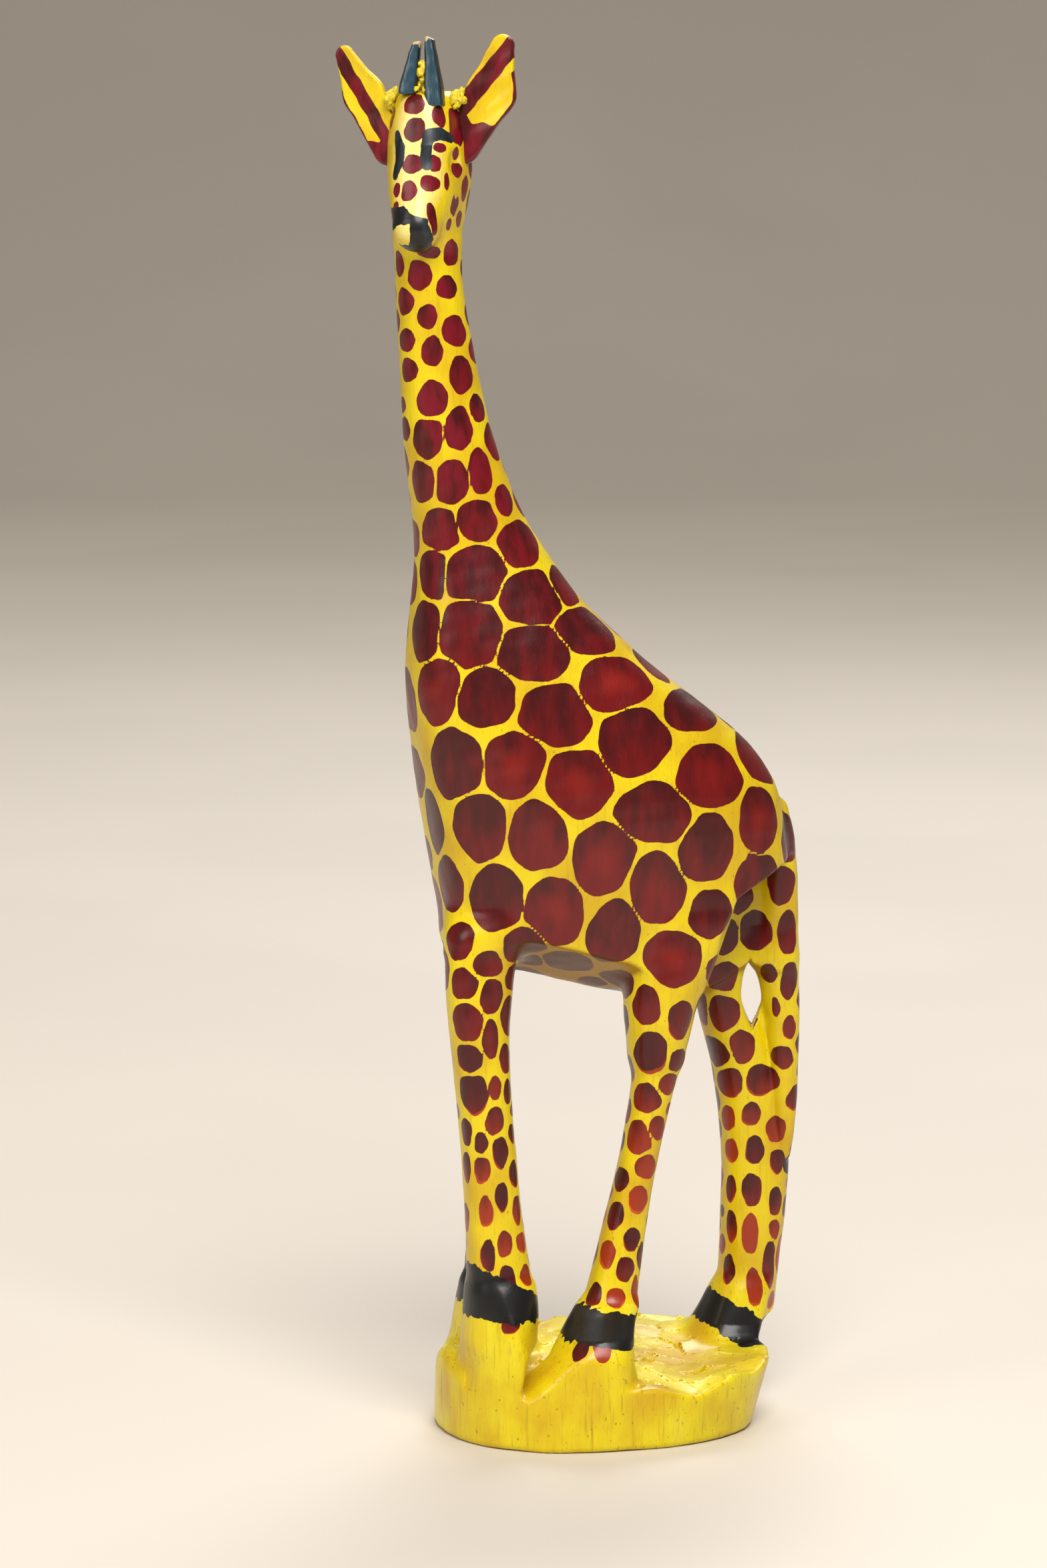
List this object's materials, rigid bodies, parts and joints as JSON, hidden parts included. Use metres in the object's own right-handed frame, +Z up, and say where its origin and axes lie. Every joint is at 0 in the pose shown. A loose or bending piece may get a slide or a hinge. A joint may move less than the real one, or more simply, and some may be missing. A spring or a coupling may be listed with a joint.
{
  "type": "carved giraffe statue",
  "caption": "Standing carved wooden giraffe with its head turned to the left, on a low oval base of the same wood, painted with dark patches on yellow.",
  "frame": {"origin": "centre of the base's flat underside", "axes": "+Z up along the height, -Y the way the chest faces, +X the giraffe's left side"},
  "size_m": [0.059, 0.1018, 0.294],
  "materials": {
    "painted_wood": "lemon yellow paint with dark maroon stained patches under satin lacquer",
    "yellow_wood": "lemon yellow paint brushed over chiselled wood, satin lacquer",
    "black_wood": "black paint, satin, worn to bare wood at the tips",
    "glue_filler": "crumbly glue and sawdust, painted yellow, matt"
  },
  "bodies": {
    "root": {"base": "yellow_wood", "foreleg_left": "painted_wood", "foreleg_right": "painted_wood", "hindleg_left": "painted_wood", "hindleg_right": "painted_wood", "trunk": "painted_wood", "neck": "painted_wood", "tail": "painted_wood", "head": "painted_wood", "ear_left": "painted_wood", "ear_right": "painted_wood", "horn_left": "black_wood", "horn_right": "black_wood", "ear_filler_left": "glue_filler", "ear_filler_right": "glue_filler", "horn_filler": "glue_filler"}
  },
  "joints": []
}
